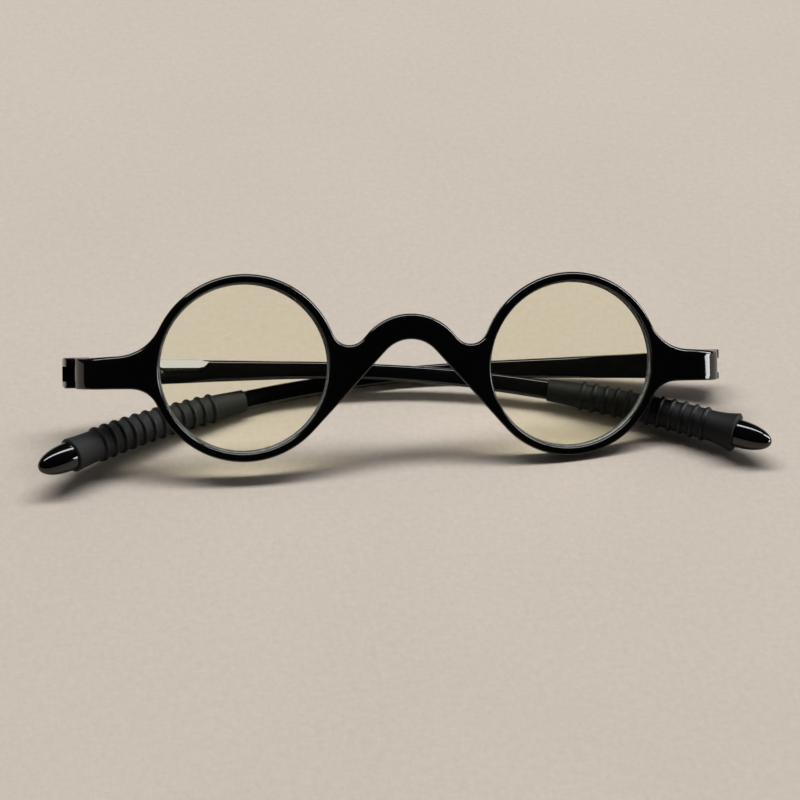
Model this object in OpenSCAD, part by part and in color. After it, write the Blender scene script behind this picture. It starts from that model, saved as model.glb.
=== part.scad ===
// Round reading glasses, folded and leaning back as they lie on a table.
// The front is one moulding with two round rims, a saddle bridge and two end pieces.
// Each temple has a forked hinge end, a bowed arm with an ear bend, and a rounded tip.
// A ribbed rubber sleeve sits round each ear bend, and one screw carries each temple.
// Left and right are as the glasses are seen from the front. All sizes are in millimetres.

/* [Lenses] */
// Diameter of a lens over its bevel
lens_d = 32; // [28:0.5:40]
// Least distance between the two lenses across the bridge
lens_gap = 30; // [24:0.5:36]
// Thickness of a lens at its edge
lens_edge_t = 1.5; // [1.2:0.1:2]
// Radius of the front surface of a lens
lens_front_r = 88; // [70:1:200]
// Radius of the back surface of a lens
lens_back_r = 125; // [90:1:300]
// Depth of the bevel round a lens
bevel = 0.55; // [0.4:0.05:0.8]
// Clearance between a lens and its groove
lens_clear = 0.05; // [0.02:0.01:0.15]

/* [Front] */
// Width of a rim, from its lens opening to its outer edge
rim_w = 1.75; // [1.6:0.05:3]
// Depth of a rim from front to back
rim_t = 2.8; // [2.4:0.1:4]
// Radius of a rim's outer edges
rim_round = 0.6; // [0.2:0.05:0.9]
// Width of the chamfer on each side of the lens opening
rim_chamfer = 0.4; // [0.1:0.05:0.6]
// Depth of the bridge and end pieces from front to back
plate_t = 2.6; // [2:0.1:4]
// Radius of the front's curve as seen from above
face_r = 700; // [300:10:1500]
// Width of the whole front over its end pieces
front_w = 123.2; // [116:0.2:140]

/* [Bridge] */
// Height of the bridge's top edge above the lens centres
arch_top = 9.35; // [8.8:0.05:10.5]
// Radius of the bridge's top edge
arch_r = 10.5; // [9.5:0.1:12]
// Height of the nose opening above the lens centres
nose_top = 5.35; // [4.6:0.05:5.8]
// Radius at the top of the nose opening
nose_r = 6.9; // [5.6:0.1:7.6]
// Extra width of a rim on its side towards the bridge
rim_swell = 0.55; // [0.4:0.05:0.7]
// Radius of the hollow between the bridge and a rim
notch_r = 2.95; // [2.2:0.05:3.4]

/* [End pieces] */
// Height of an end piece
end_h = 5.7; // [4.5:0.1:7]
// Drop of an end piece's middle below the lens centres
end_drop = 0.75; // [0:0.05:2]
// Radius of the hollow above an end piece, where it meets the rim
shoulder_top_r = 7.5; // [3:0.5:10]
// Radius of the hollow below an end piece, where it meets the rim
shoulder_low_r = 4; // [2:0.5:8]
// Outer radius of the bend from the front to the side
corner_r = 5.8; // [4.5:0.5:8]
// Thickness of an end piece past the bend
end_t = 3.2; // [2.8:0.1:4]
// Depth of the hinge's joint face behind the lens centres
joint_y = 7.6; // [7.4:0.1:9]
// Tilt of the hinge axes from the front's own upright, top leaning back
hinge_tilt = 5; // [0:0.5:8]

/* [Hinges] */
// Distance from the joint face back to the hinge axis
axis_back = 4.5; // [4:0.1:5]
// Distance from a temple's outer face in to the hinge axis
axis_in = 2.5; // [2.3:0.1:3]
// Height of the front's tongue between the two ears of the fork
tongue_h = 2.6; // [2:0.1:3.4]
// Radius of the tongue round the hinge axis
tongue_r = 1.7; // [1.4:0.05:2]
// Drop of the tongue's middle below the end piece's middle
tongue_drop = 0.2; // [-0.4:0.1:0.4]
// Clearance round the tongue inside the fork
fork_clear = 0.1; // [0.05:0.01:0.2]
// Gap between the joint face and an open temple
joint_gap = 0.1; // [0.05:0.01:0.3]
// Diameter of the hinge screw's shank
screw_d = 1.2; // [1:0.1:1.4]
// Diameter of the hinge screw's head
screw_head_d = 2.1; // [1.8:0.1:2.4]
// Height of the hinge screw's head
screw_head_h = 0.6; // [0.4:0.1:0.8]
// Width of the slot in the hinge screw's head
screw_slot = 0.35; // [0.2:0.05:0.5]
// Running clearance round the hinge screw's shank
screw_clear = 0.04; // [0.01:0.01:0.1]

/* [Temples] */
// Length of a temple from the hinge axis to its tip, along its curve
temple_l = 134.5; // [128:0.1:145]
// Height of a temple at its hinge
arm_h_hinge = 5.7; // [4.5:0.1:7]
// Height of an arm halfway along
arm_h_mid = 3; // [2.4:0.1:4]
// Height of an arm just before its sleeve
arm_h_ear = 3.6; // [3:0.1:4.5]
// Thickness of a temple at its hinge
arm_t_hinge = 4.3; // [4.1:0.1:5]
// Thickness of an arm
arm_t = 2.6; // [2:0.1:3.5]
// Angle at which an arm leaves its hinge, outwards
arm_flare = 10; // [0:1:15]
// Angle by which an arm curves inwards along its length
arm_bow = 28.5; // [20:0.1:32]
// Angle by which the ear bend of the left arm turns inwards
turn_left = 18; // [12:0.1:24]
// Angle by which the ear bend of the right arm turns inwards
turn_right = 19.4; // [12:0.1:24]
// Slope of the straight part of the left arm
dip_left = 0.33; // [-1:0.01:1]
// Slope of the straight part of the right arm
dip_right = 1; // [0.5:0.01:2.5]
// Distance from the hinge axis at which the ear bend starts
bend_from = 38.5; // [30:0.1:50]
// Distance from the hinge axis at which the ear bend ends
bend_to = 122.6; // [115:0.1:127]
// Angle of the left arm's ear bend
bend_left = 14.9; // [10:0.1:20]
// Angle of the right arm's ear bend
bend_right = 15.8; // [10:0.1:20]
// Widest radius of a tip
tip_r = 2.7; // [2.3:0.05:2.9]
// Length of a tip past its sleeve
tip_l = 7; // [6:0.1:9]
// Length over which an arm narrows into its sleeve
neck_l = 0.5; // [0.3:0.1:1]

/* [Sleeves] */
// Length of a sleeve
sleeve_l = 38.1; // [34:0.1:40]
// Radius of a sleeve at its narrow start
sleeve_r_start = 2.05; // [2.0:0.05:2.6]
// Radius of a sleeve over its first rib
sleeve_r_first = 2.8; // [2.5:0.05:3.2]
// Radius of a sleeve over its last rib
sleeve_r_end = 3.35; // [3.2:0.05:3.6]
// Number of ribs on a sleeve
ribs = 12; // [6:1:13]
// Distance from one rib to the next
rib_pitch = 2.22; // [2:0.01:2.4]
// Plain length at a sleeve's start, before its first rib
sleeve_plain_l = 6.85; // [5:0.1:8]
// Height of the ribs
rib_depth = 0.42; // [0.2:0.02:0.6]
// Part of the pitch that a rib takes
rib_share = 0.42; // [0.3:0.02:0.8]
// Growth in radius from the last rib to the lip of the left sleeve
flare_left = 0.85; // [0.1:0.05:1]
// Growth in radius from the last rib to the lip of the right sleeve
flare_right = 0.3; // [0.1:0.05:1]
// Height and thickness of the core inside a sleeve
core = 2.9; // [2.4:0.1:3.2]
// Clearance between a sleeve and its core
sleeve_clear = 0.05; // [0.02:0.01:0.1]

/* [Resting place] */
// Angle by which the front leans back from upright
lean = 32.85; // [15:0.05:60]
// Angle by which the front's left side is lifted off the table
roll = 3.1; // [0:0.05:8]
// Gap between the folded left sleeve and the back of the right rim
fold_gap = 0.29; // [0.2:0.01:1]
// Angle by which the right temple, behind the left one, folds less
fold_apart = 3.6; // [3.2:0.1:6]

/* [Hidden] */
e = 0.01;

lens_x = (lens_gap + lens_d) / 2;
groove_r = lens_d / 2 + lens_clear;
lip_r = groove_r - bevel;
rim_r = lip_r + rim_w;
web_r = rim_r - 0.08;
bite = 0.01;
groove_y = rim_t / 2;
bow = lens_x * lens_x / (2 * face_r);
wrap = asin(lens_x / face_r);

end_x = front_w / 2;
corner_x = end_x - corner_r;
corner_y = face_r - bow - sqrt(pow(face_r - corner_r, 2) - pow(corner_x, 2));
tilt_y = corner_y - corner_r;

axis_x = end_x - axis_in;
axis_y = joint_y + axis_back;
butt = axis_back - joint_gap;
ear_top = end_h / 2 - tongue_h / 2 + tongue_drop;
bore_r = screw_d / 2 + screw_clear;

sleeve_from = temple_l - tip_l - sleeve_l;
sleeve_to = temple_l - tip_l;
arm_from = butt - tongue_r;
arm_sides = 16;
arm_step = 3;

// Point where two circles meet, the upper one of the two
function meet(a, ra, b, rb) =
    let (d = norm(b - a), u = (b - a) / d, x = (d * d + ra * ra - rb * rb) / (2 * d))
    a + u * x + [-u[1], u[0]] * sqrt(ra * ra - x * x);

// Running sums of a list, starting from nothing
function sums(v) = [for (i = 0, s = v[0] * 0; i < len(v); s = s + v[i], i = i + 1) s];

// Outline of the front, seen from the front
nose_c = [0, nose_top - nose_r];
arch_c = [0, arch_top - arch_r];
rim_c = [lens_x, 0];
swell_c = rim_c + rim_swell * [-cos(35), sin(35)];
notch_c = meet(arch_c, arch_r + notch_r, swell_c, rim_r + notch_r);
// The flank of the nose touches both the nose opening's circle and the rim
flank_line = rim_c - nose_c;
flank_turn = asin((nose_r + web_r) / norm(flank_line)) - atan2(flank_line[1], flank_line[0]);
flank_n = [sin(flank_turn), cos(flank_turn)];
flank_top = nose_c + (nose_r - bite) * flank_n;
flank_low = rim_c - web_r * flank_n;

module half_web() {
    difference() {
        polygon([
            nose_c, arch_c + (notch_c - arch_c) * 0.6, notch_c, swell_c,
            rim_c - (rim_r + 1) * flank_n
        ]);
        translate(notch_c) circle(notch_r + bite, $fn = 60);
    }
}

// Hollow between a rim and the level edge of an end piece
module shoulder(edge, r) {
    c = [lens_x + sqrt(pow(web_r + r, 2) - pow(edge + r, 2)), edge + r];
    difference() {
        polygon([rim_c, c, [c[0], 0]]);
        translate(c) circle(r + bite, $fn = 90);
    }
}

module half_outline() {
    translate(swell_c) circle(rim_r, $fn = 180);
    half_web();
    shoulder(end_h / 2 - end_drop, shoulder_top_r);
    mirror([0, 1]) shoulder(end_h / 2 + end_drop, shoulder_low_r);
    translate([lens_x, -end_drop - end_h / 2]) square([corner_x - lens_x + 1, end_h]);
}

module nose_opening() {
    low = -lens_d;
    translate(nose_c) circle(nose_r, $fn = 90);
    polygon([
        flank_top, flank_low, [flank_low[0], low],
        [-flank_low[0], low], [-flank_low[0], flank_low[1]], [-flank_top[0], flank_top[1]]
    ]);
}

module front_outline() {
    difference() {
        union() {
            translate(arch_c) circle(arch_r, $fn = 180);
            half_outline();
            mirror([1, 0]) half_outline();
        }
        nose_opening();
        for (side = [-1, 1]) translate([side * lens_x, 0]) circle(groove_r + rim_w / 2, $fn = 180);
    }
}

// Curved band of the front, seen from above
module face_band(t) {
    translate([0, face_r - bow]) difference() {
        circle(face_r, $fn = 1440);
        circle(face_r - t, $fn = 1440);
    }
}

module plate() {
    intersection() {
        translate([0, face_r / 4, 0]) rotate([90, 0, 0])
            linear_extrude(face_r / 2) front_outline();
        linear_extrude(4 * lens_d, center = true) face_band(plate_t);
    }
}

// Section of a rim, drawn to the right of the lens axis
module rim_section() {
    w = rim_r - lip_r;
    difference() {
        translate([lip_r, 0]) union() {
            square([w - rim_round, rim_t]);
            translate([0, rim_round]) square([w, rim_t - 2 * rim_round]);
            for (y = [rim_round, rim_t - rim_round])
                translate([w - rim_round, y]) circle(rim_round, $fn = 32);
        }
        for (y = [0, rim_t]) translate([lip_r, y]) rotate(45)
            square(rim_chamfer * sqrt(2), center = true);
        polygon([
            [lip_r - e, groove_y - bevel], [groove_r, groove_y], [lip_r - e, groove_y + bevel]
        ]);
    }
}

// Places a shape, made round the z axis, on a lens axis with z pointing back
module on_lens_axis(side) {
    translate([side * lens_x, -(rim_t - plate_t) / 2, 0]) rotate([0, 0, side * wrap])
        rotate([-90, 0, 0]) children();
}

module rim(side) {
    on_lens_axis(side) rotate_extrude($fn = 180) rim_section();
}

module lens(side) {
    r = lip_r - lens_clear;
    front_y = groove_y - lens_edge_t / 2;
    sag = lens_front_r - sqrt(pow(lens_front_r, 2) - r * r);
    back_sag = lens_back_r - sqrt(pow(lens_back_r, 2) - r * r);
    color([0.93, 0.91, 0.78, 0.5]) on_lens_axis(side) rotate_extrude($fn = 180) {
        difference() {
            intersection() {
                translate([0, front_y - sag]) square([r, lens_edge_t + sag]);
                translate([0, front_y - sag + lens_front_r]) circle(lens_front_r, $fn = 720);
            }
            translate([0, front_y + lens_edge_t - back_sag + lens_back_r])
                circle(lens_back_r, $fn = 720);
        }
        polygon([
            [r - e, groove_y - bevel], [r + bevel, groove_y], [r - e, groove_y + bevel]
        ]);
    }
}

// Tilts the ends of the front and all that the hinges carry
module hinge_frame() {
    translate([0, tilt_y, -end_drop]) rotate([-hinge_tilt, 0, 0])
        translate([0, -tilt_y, 0]) children();
}

// Right hinge axis, with z along it; the left one is its mirror image
module at_axis(side) {
    mirror([side < 0 ? 1 : 0, 0, 0]) translate([axis_x, axis_y, 0]) children();
}

module end_plan() {
    translate([corner_x, corner_y]) intersection() {
        difference() {
            circle(corner_r, $fn = 90);
            circle(corner_r - end_t, $fn = 60);
        }
        translate([-1, -corner_r]) square([corner_r + 1, corner_r]);
    }
    translate([end_x - end_t, corner_y - e]) square([end_t, joint_y - corner_y + e]);
}

module tongue_plan() {
    circle(tongue_r, $fn = 48);
    translate([-tongue_r, -axis_back - 1]) square([2 * tongue_r, axis_back + 1]);
}

module end_piece(side) {
    hinge_frame() {
        mirror([side < 0 ? 1 : 0, 0, 0]) linear_extrude(end_h, center = true) end_plan();
        at_axis(side) translate([0, 0, -tongue_drop])
            linear_extrude(tongue_h, center = true) tongue_plan();
    }
}

module front() {
    color([0.05, 0.05, 0.06]) difference() {
        union() {
            plate();
            for (side = [-1, 1]) {
                rim(side);
                end_piece(side);
            }
        }
        for (side = [-1, 1])
            hinge_frame() at_axis(side) cylinder(2 * end_h, r = bore_r, center = true, $fn = 32);
    }
}

// Heights and thicknesses of an arm along its length, before and inside its sleeve
arm_heights = [
    [0, arm_h_hinge - 0.1], [bend_from / 3, (arm_h_hinge + arm_h_ear) / 2],
    [bend_from, (arm_h_mid + arm_h_ear) / 2 + 0.1], [1.5 * bend_from, arm_h_mid],
    [sleeve_from - 2 * neck_l, arm_h_ear], [sleeve_from - neck_l, core]
];
arm_widths = [
    [0, arm_t_hinge - 0.1], [bend_from / 3, (arm_t_hinge + arm_t) / 2],
    [bend_from, arm_t], [sleeve_from - 2 * neck_l, arm_t], [sleeve_from - neck_l, core]
];

// Course of an arm, as [slope of its straight part, inward turn and angle of its ear bend]
function way_of(side) = side < 0
    ? [dip_left, turn_left, bend_left] : [dip_right, turn_right, bend_right];

// Middle line of an arm, at distances r from the hinge axis
function bent(r) = min(1, max(0, (r - bend_from) / (bend_to - bend_from)));
function heading(r, way) = arm_flare - arm_bow * r / temple_l - way[1] * bent(r);
function slope(r, way) = way[0] + way[2] * bent(r);
function tangent(r, way) = let (a = heading(r, way), s = slope(r, way))
    [cos(s) * cos(a), cos(s) * sin(a), -sin(s)];
line_step = 0.5;
line_offset = [0, axis_in - arm_t_hinge / 2, 0];
function line_points(way) = sums(
    [for (r = [0 : line_step : temple_l + 2 * line_step]) tangent(r, way) * line_step]
);
function on_line(line, r) = let (k = floor(r / line_step), f = r / line_step - k)
    line[k] * (1 - f) + line[k + 1] * f + line_offset;

// Radius of a sleeve at a distance from its start
function sleeve_body(x) = lookup(x, [
    [0, sleeve_r_start], [sleeve_plain_l, sleeve_r_first - rib_depth],
    [sleeve_plain_l + (ribs - 1) * rib_pitch, sleeve_r_end - rib_depth]
]);

// Place, as the front sees it, of a point on the left arm's middle line with the arm at a fold angle
function behind_front(p, fold) = let (
    x = p[0] * cos(fold) - p[1] * sin(fold) - axis_x,
    y = p[0] * sin(fold) + p[1] * cos(fold) + axis_y - tilt_y
) [x, tilt_y + y * cos(hinge_tilt) + p[2] * sin(hinge_tilt),
    p[2] * cos(hinge_tilt) - y * sin(hinge_tilt) - end_drop];

// Distance from a point to the back of the right rim
rim_axis = [-sin(wrap), cos(wrap), 0];
function to_rim(p) = let (
    q = p - [lens_x, -(rim_t - plate_t) / 2, 0], depth = q * rim_axis - rim_t,
    over = norm(q - (depth + rim_t) * rim_axis) - rim_r + rim_round
) over < 0 ? depth : norm([over, depth + rim_round]) - rim_round;

// Least gap between the left sleeve and the right rim at a fold angle
function least_gap(line, fold) = min([for (r = [sleeve_from : sleeve_to])
    to_rim(behind_front(on_line(line, r), fold)) - sleeve_body(r - sleeve_from) - rib_depth]);

// Fold angle at which that gap is the wanted one, closed in on step by step
function fold_to(line, fold, steps) = steps == 0 ? fold : fold_to(
    line, fold + (fold_gap - least_gap(line, fold)) * 40 / sleeve_from, steps - 1
);
fold_left = fold_to(line_points(way_of(-1)), 3, 12);
fold_right = fold_left + fold_apart;

// Turns a temple about its hinge axis to where it lies when folded
module folded(side) {
    hinge_frame() at_axis(side) rotate([0, 0, 180 - (side < 0 ? fold_left : fold_right)])
        mirror([0, 1, 0]) children();
}

// One ring of an arm or sleeve, with squareness from 1 (round) down
function ring(line, way, r, w, h, square) =
    let (a = heading(r, way), s = slope(r, way), c = on_line(line, r))
    [for (k = [0 : arm_sides - 1]) let (
        q = 360 * (k + 0.5) / arm_sides,
        x = w / 2 * sign(cos(q)) * pow(abs(cos(q)), square),
        y = h / 2 * sign(sin(q)) * pow(abs(sin(q)), square)
    ) c + x * [-sin(a), cos(a), 0] + y * [sin(s) * cos(a), sin(s) * sin(a), cos(s)]];

// Closed skin through a list of rings, each with the same number of points
module skin(rings) {
    n = len(rings[0]);
    m = len(rings);
    points = [for (one = rings) each one];
    sides = [for (i = [0 : m - 2], k = [0 : n - 1]) let (
        a = i * n + k, b = i * n + (k + 1) % n, c = a + n, d = b + n
    ) each [[a, d, b], [a, c, d]]];
    first = [for (k = [1 : n - 2]) [0, k, k + 1]];
    last = [for (k = [1 : n - 2]) [(m - 1) * n, (m - 1) * n + k + 1, (m - 1) * n + k]];
    polyhedron(points, concat(sides, first, last), convexity = 6);
}

function arm_stations() = concat(
    [for (r = [arm_from : arm_step : sleeve_from - 2.4 * neck_l]) r],
    [sleeve_from - 2 * neck_l, sleeve_from - neck_l],
    [for (r = [sleeve_from + arm_step : arm_step : sleeve_to - 2 * neck_l]) r],
    [sleeve_to]
);

module arm(way) {
    line = line_points(way);
    blunt = 0.975;
    skin(concat(
        [for (r = arm_stations())
            ring(line, way, r, lookup(r, arm_widths), lookup(r, arm_heights),
                r < sleeve_from - 1.5 * neck_l ? 0.55 : 1)],
        [for (u = [0, 0.15, 0.3, 0.45, 0.6, 0.73, 0.84, 0.92, 0.97, 1]) let (
            r = sleeve_to + 0.05 + (tip_l - 0.05) * u,
            d = 2 * tip_r * sqrt(1 - pow(u * blunt, 2.2))
        ) ring(line, way, r, d, d, 1)]
    ));
}

// Forked end of a temple, round the hinge axis; x runs along the arm and y outwards
module fork() {
    inner = axis_in - arm_t_hinge;
    slot = tongue_r + fork_clear;
    difference() {
        linear_extrude(end_h, center = true) difference() {
            translate([-butt, inner]) square([butt + arm_from + 1, arm_t_hinge]);
            difference() {
                translate([-butt - 1, inner - 1]) square([butt + 1, 1 - inner]);
                circle(butt, $fn = 90);
            }
        }
        translate([0, 0, -tongue_drop]) linear_extrude(tongue_h + 2 * fork_clear, center = true) {
            circle(slot, $fn = 48);
            translate([-butt - 1, -slot - arm_t_hinge])
                square([butt + 1, 2 * slot + arm_t_hinge]);
            translate([-1, -slot - arm_t_hinge]) square([slot + 1, slot + arm_t_hinge]);
        }
        cylinder(2 * end_h, r = bore_r, center = true, $fn = 32);
        translate([0, 0, end_h / 2 - screw_head_h])
            cylinder(1, r = screw_head_d / 2 + screw_clear, $fn = 32);
    }
}

module temple(side) {
    color([0.04, 0.04, 0.05]) folded(side) {
        fork();
        arm(way_of(side));
    }
}

module hinge_screw(side) {
    color([0.75, 0.75, 0.76]) folded(side) difference() {
        union() {
            translate([0, 0, -end_h / 2 + 0.1])
                cylinder(end_h - screw_head_h, r = screw_d / 2, $fn = 32);
            translate([0, 0, end_h / 2 - screw_head_h + screw_clear])
                cylinder(screw_head_h - screw_clear, r = screw_head_d / 2, $fn = 32);
        }
        translate([0, 0, end_h / 2])
            cube([2 * screw_head_d, screw_slot, screw_head_h], center = true);
    }
}

// Relief of one rib, as [part of the rib's width, part of its height]
rib_profile = [[0, 0], [0.18, 0.6], [0.4, 1], [0.6, 0.98], [0.82, 0.55], [1, 0]];
function rib_stations() = [for (i = [0 : ribs - 1], q = rib_profile)
    [sleeve_plain_l + (i + q[0] * rib_share) * rib_pitch, q[1] * rib_depth]];
function sleeve_stations(flare) = concat(
    [[0, 0], [sleeve_plain_l * 0.3, 0], [sleeve_plain_l - rib_pitch * 0.27, 0]],
    rib_stations(),
    [[sleeve_l - rib_pitch, flare * 0.45], [sleeve_l - neck_l * 0.6, flare]],
    [[sleeve_l, flare - rib_depth / 2]]
);

module sleeve(side) {
    flare = side < 0 ? flare_left : flare_right;
    way = way_of(side);
    line = line_points(way);
    bore = core + 2 * sleeve_clear;
    color([0.16, 0.16, 0.17]) folded(side) difference() {
        skin([for (s = sleeve_stations(flare)) let (d = 2 * (sleeve_body(s[0]) + s[1]))
            ring(line, way, sleeve_from + s[0], d, d, 1)]);
        skin([for (r = concat(arm_stations(), [sleeve_to + neck_l]))
            if (r > sleeve_from - 2.2 * neck_l) ring(line, way, r, bore, bore, 1)]);
    }
}

// Sets the folded glasses down, with the right rim's lowest point on the table at z = 0
up = [-sin(roll), -sin(lean) * cos(roll), cos(lean) * cos(roll)];
rim_mid = [lens_x, -(rim_t - plate_t) / 2, 0] + rim_axis * rim_t / 2;
rest_z = (rim_r - rim_round) * sqrt(1 - pow(up * rim_axis, 2))
    + (rim_t / 2 - rim_round) * abs(up * rim_axis) + rim_round - up * rim_mid;
centre_x = 0.7;
centre_y = -2;

module set_down() {
    translate([centre_x, centre_y, rest_z]) rotate([-lean, roll, 0]) children();
}

set_down() front();
set_down() lens(-1);  // lens_left
set_down() lens(1);  // lens_right
set_down() hinge_screw(-1);  // hinge_screw_left
set_down() hinge_screw(1);  // hinge_screw_right
set_down() temple(-1);  // temple_left
set_down() temple(1);  // temple_right
set_down() sleeve(-1);  // sleeve_left
set_down() sleeve(1);  // sleeve_right
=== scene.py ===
from math import asin, atan2, cos, pi, radians, sin, sqrt

import bmesh
import bpy
import numpy as np
from mathutils import Matrix, Vector
from mathutils.geometry import delaunay_2d_cdt


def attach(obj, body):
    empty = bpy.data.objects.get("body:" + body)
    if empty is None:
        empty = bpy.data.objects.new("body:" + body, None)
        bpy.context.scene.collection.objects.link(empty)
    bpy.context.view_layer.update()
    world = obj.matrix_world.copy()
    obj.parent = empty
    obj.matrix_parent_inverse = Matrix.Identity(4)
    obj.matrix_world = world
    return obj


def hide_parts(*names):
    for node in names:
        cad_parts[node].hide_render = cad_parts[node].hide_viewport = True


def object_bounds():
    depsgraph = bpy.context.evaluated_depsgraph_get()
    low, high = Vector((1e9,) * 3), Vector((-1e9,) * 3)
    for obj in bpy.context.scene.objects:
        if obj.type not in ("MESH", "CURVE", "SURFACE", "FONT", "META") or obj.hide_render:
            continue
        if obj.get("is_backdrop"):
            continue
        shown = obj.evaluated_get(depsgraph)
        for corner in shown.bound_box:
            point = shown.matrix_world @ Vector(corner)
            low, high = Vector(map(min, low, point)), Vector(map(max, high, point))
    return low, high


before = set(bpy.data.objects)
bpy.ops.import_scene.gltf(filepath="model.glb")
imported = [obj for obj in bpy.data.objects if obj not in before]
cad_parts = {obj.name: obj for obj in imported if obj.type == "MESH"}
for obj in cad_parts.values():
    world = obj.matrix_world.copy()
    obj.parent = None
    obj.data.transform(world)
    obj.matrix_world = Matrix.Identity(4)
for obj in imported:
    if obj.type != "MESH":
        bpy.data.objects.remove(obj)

cad_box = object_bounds()

# Front

# One black injection moulding: two round rims, the saddle bridge between them, and an end piece
# on each side that bends back to the hinge and ends in a tongue. Its outer edges are rounded,
# and each rim has a vee groove inside, into which its lens is snapped.

# Sizes are in millimetres, in the front's own frame: x to the right, y back, z up
MM = 0.001
# Rims: middle of a lens, radii of the opening and of the outside, and thicknesses of the plate
LENS_X, LIP_R, RIM_R = 31.0, 15.75, 17.35
RIM_T, PLATE_T, END_T = 2.8, 2.6, 3.2
# Edges: rounded at the front above and below, at the back, and near the joint with the temple
EDGE_ROUND, EDGE_LOW, BACK_ROUND, DRAFT, JOINT_ROUND = 0.8, 0.35, 0.3, 0.35, 0.2
LOW_EDGE, HIGH_EDGE = -0.6, 0.1
# Lens groove, its lip, and how far the lip's chamfer is softened
LIP_CHAMFER, LIP_SOFT, LIP_SET, GROOVE = 0.25, 0.06, 0.05, 0.45
# Face curve, corner that bends back, and width over both corners
FACE_R, CORNER_R, FRONT_W = 700.0, 5.8, 123.2
# Bridge and nose opening, the notch above each rim, and the swelling of the rim beside it
ARCH_TOP, ARCH_R, NOSE_TOP, NOSE_R, NOTCH_R = 9.95, 10.85, 5.2, 6.3, 3.4
SWELL, SWELL_TURN = 0.2, radians(145)
# End pieces and the shoulders that lead to them
END_H, END_DROP, END_RISE, SHOULDER_TOP, SHOULDER_LOW = 5.7, 0.75, 0.3, 9.0, 5.0
RISE_FROM = 61.0
# Where the plate thickens, the rim stands proud, the face turns flat and the end is tilted
THICK_FROM, THICK_TO, PROUD_R, PLAIN_R, CURVED_R = 53, 58, 18.5, 20.5, 24
TILT_FROM, TILT_TO = 52, 60
# Hinges: the joint, the axis behind it, the tongue and its bore
JOINT_Y, JOINT_FADE, JOINT_PLAIN, HINGE_TILT = 7.6, 4, 0.3, radians(5)
AXIS_BACK, AXIS_IN, BORE_R = 4.5, 2.5, 0.64
TONGUE_R, TONGUE_H, TONGUE_DROP, TONGUE_ROOT, TONGUE_ROUND = 1.7, 2.6, 0.2, 1, 0.1
# How the front lies on the table
LEAN, ROLL, SET_DOWN = radians(32.85), radians(3.1), (0.7, -2.0, 17.4348)
# Fineness of the meshes, and the angle past which an edge is shaded sharp
LINE_STEP, TONGUE_STEP, BORE_STEP, OUTLINE_SMOOTHINGS = 0.35, 0.15, 0.12, 4
BODY_SPACING, TONGUE_SPACING, BODY_WALL_STEPS, TONGUE_WALL_STEPS = 0.6, 0.5, 8, 2
MERGE, SLIVER, SHARP = 0.002, 0.0005, 35

lying = np.array(Matrix.Rotation(ROLL, 3, "Y") @ Matrix.Rotation(-LEAN, 3, "X"))
hinge_turn = np.array(Matrix.Rotation(-HINGE_TILT, 3, "X"))
bow = LENS_X ** 2 / (2 * FACE_R)
corner_x = FRONT_W / 2 - CORNER_R
corner_y = FACE_R - bow - sqrt((FACE_R - CORNER_R) ** 2 - corner_x ** 2)
tilt_y = corner_y - CORNER_R


def on_table(points):
    """Turns millimetres in the front's own frame into metres on the table."""
    return (np.asarray(points) @ lying.T + SET_DOWN) * MM


def from_hinge(points, side):
    """Millimetres round a hinge axis, with z along it, into the front's own frame."""
    moved = points + np.array([FRONT_W / 2 - AXIS_IN, JOINT_Y + AXIS_BACK - tilt_y, 0])
    moved = moved * [side, 1, 1]
    return moved @ hinge_turn.T + [0, tilt_y, -END_DROP]


def smooth_step(low, high, x):
    """Goes evenly from 0 at low to 1 at high."""
    t = np.clip((x - low) / (high - low), 0, 1)
    return t * t * (3 - 2 * t)


def arc(centre, radius, start, end, step=LINE_STEP):
    """Points along an arc, without its last one."""
    count = max(3, round(abs(end - start) * radius / step))
    turn = np.linspace(start, end, count, endpoint=False)
    return np.stack([centre[0] + radius * np.cos(turn), centre[1] + radius * np.sin(turn)], 1)


def straight(start, end, step=LINE_STEP):
    """Points along a straight edge, without its last one."""
    start, end = np.array(start, float), np.array(end, float)
    count = max(1, round(np.linalg.norm(end - start) / step))
    return start + (end - start) * np.linspace(0, 1, count, endpoint=False)[:, None]


def round_wall(front, back, half, steps, draft=0.0):
    """A wall with two rounded edges of so many steps, as (inset, depth) from front to back. Its
    draft draws it in towards the back."""
    turns = [i / steps * pi / 2 for i in range(steps + 1)]
    rows = [(front * (1 - sin(a)), front * (1 - cos(a)) - half) for a in turns]
    return rows + [(draft + back * (1 - sin(a)), half - back * (1 - cos(a)))
                   for a in reversed(turns)]


def inside(points, loops):
    """Tells which points have the material round them, by crossing all the loops."""
    found, batch = np.zeros(len(points), bool), 2000
    for loop in loops:
        a, b = loop, np.roll(loop, -1, 0)
        for part in range(0, len(points), batch):
            p = points[part:part + batch, None]
            across = (a[:, 1] > p[..., 1]) != (b[:, 1] > p[..., 1])
            rise = np.where(b[:, 1] == a[:, 1], 1, b[:, 1] - a[:, 1])
            left = p[..., 0] < a[:, 0] + (p[..., 1] - a[:, 1]) * (b[:, 0] - a[:, 0]) / rise
            found[part:part + batch] ^= (across & left).sum(1) % 2 == 1
    return found


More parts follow.
